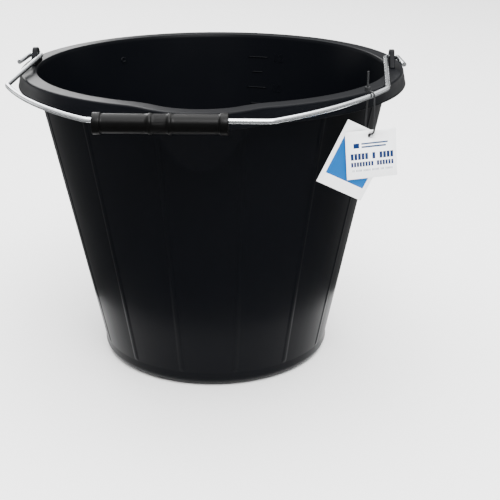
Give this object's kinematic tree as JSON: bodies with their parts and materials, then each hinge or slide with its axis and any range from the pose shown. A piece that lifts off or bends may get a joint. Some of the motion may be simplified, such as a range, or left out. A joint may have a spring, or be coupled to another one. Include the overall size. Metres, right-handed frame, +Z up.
{
  "type": "bucket",
  "caption": "Tapered black plastic bucket with a pouring lip, ribbed wall, folding wire bail, loose tube grip and a hang tag.",
  "frame": {"origin": "centre of the underside, on the surface that the bucket stands on", "axes": "+Z up; the pouring lip and the folded bail point along -Y; the two ears stand at +X and -X, and the bail pivots about X"},
  "size_m": [0.3404, 0.373, 0.286],
  "materials": {
    "bucket_plastic": "satin injection-moulded polypropylene",
    "galvanised_wire": "bright galvanised drawn wire",
    "grip_plastic": "smooth moulded tube with a fine textured band",
    "tie_nylon": "thin black nylon",
    "card_white": "smooth coated card",
    "card_blue": "smooth coated card with a plain printed panel"
  },
  "bodies": {
    "bucket": {"bucket_body": "bucket_plastic"},
    "bail": {"bail_wire": "galvanised_wire"},
    "grip_tube": {"grip": "grip_plastic"},
    "tie": {"tag_tie": "tie_nylon"},
    "card_front": {"tag_card_front": "card_white"},
    "card_back": {"tag_card_back": "card_blue"}
  },
  "joints": [
    {"name": "bail_swing", "type": "hinge", "parent": "bucket", "child": "bail", "pos_m": [0, 0, 0.2738], "axis": [-1, 0, 0], "range_deg": [0, 185.8]},
    {"name": "grip_slide", "type": "slide", "parent": "bail", "child": "grip_tube", "axis": [1, 0, 0], "range_m": [0, 0.026]},
    {"name": "tie_swing", "type": "hinge", "parent": "bail", "child": "tie", "pos_m": [0.13131, -0.12515, 0.26746], "axis": [0.5923, 0.8057, 0], "range_deg": [-45, 6]},
    {"name": "card_front_swing", "type": "hinge", "parent": "tie", "child": "card_front", "pos_m": [0.13198, -0.12597, 0.23696], "axis": [0.1392, -0.9903, 0], "range_deg": [-25, 25]},
    {"name": "card_back_swing", "type": "hinge", "parent": "tie", "child": "card_back", "pos_m": [0.13063, -0.12434, 0.23696], "axis": [0.1392, -0.9903, 0], "range_deg": [-8, 50]}
  ]
}
